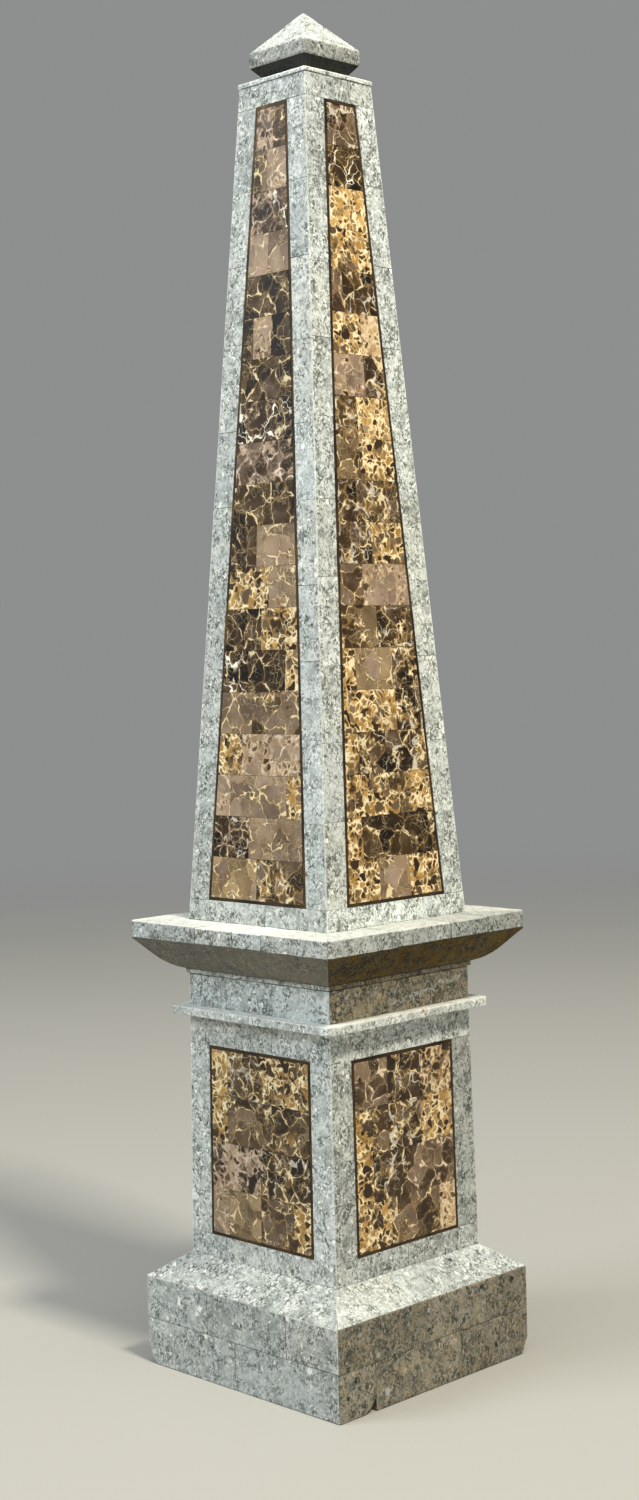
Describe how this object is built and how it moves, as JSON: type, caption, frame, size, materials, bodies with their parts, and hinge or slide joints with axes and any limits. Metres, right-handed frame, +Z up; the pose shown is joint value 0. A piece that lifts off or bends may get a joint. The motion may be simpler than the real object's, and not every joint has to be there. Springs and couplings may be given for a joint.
{
  "type": "ornamental stone-veneered obelisk",
  "caption": "Table-top obelisk on a pedestal: grey marble veneer, brown marble mosaic panels edged in brass, moulded cornice and pointed cap stone.",
  "frame": {"origin": "middle of the underside of the plinth, on the surface that it stands on", "axes": "+Z up along the middle of the shaft, -Y out of the front face, +X out of the right face"},
  "size_m": [0.177, 0.177, 0.84],
  "materials": {
    "grey_marble": "honed grey-green fossil marble, worn satin",
    "brown_marble": "polished brown brecciated marble with golden veins",
    "brass_strip": "dark patinated brass, ground flush",
    "core_board": "plain board, hidden under the veneer"
  },
  "bodies": {
    "root": {"plinth_lower_course": "grey_marble", "plinth_upper_course": "grey_marble", "plinth_slope": "grey_marble", "fillet_slab": "grey_marble", "neck_block": "grey_marble", "bed_strip": "grey_marble", "cornice_soffit": "grey_marble", "cornice_slab": "grey_marble", "shaft_top_plate": "grey_marble", "cap_stone": "grey_marble", "die_core": "core_board", "die_frame_front": "grey_marble", "die_brass_front": "brass_strip", "die_panel_front": "brown_marble", "die_frame_right": "grey_marble", "die_brass_right": "brass_strip", "die_panel_right": "brown_marble", "die_frame_back": "grey_marble", "die_brass_back": "brass_strip", "die_panel_back": "brown_marble", "die_frame_left": "grey_marble", "die_brass_left": "brass_strip", "die_panel_left": "brown_marble", "shaft_core": "core_board", "shaft_frame_front": "grey_marble", "shaft_brass_front": "brass_strip", "shaft_panel_front": "brown_marble", "shaft_frame_right": "grey_marble", "shaft_brass_right": "brass_strip", "shaft_panel_right": "brown_marble", "shaft_frame_back": "grey_marble", "shaft_brass_back": "brass_strip", "shaft_panel_back": "brown_marble", "shaft_frame_left": "grey_marble", "shaft_brass_left": "brass_strip", "shaft_panel_left": "brown_marble"}
  },
  "joints": []
}
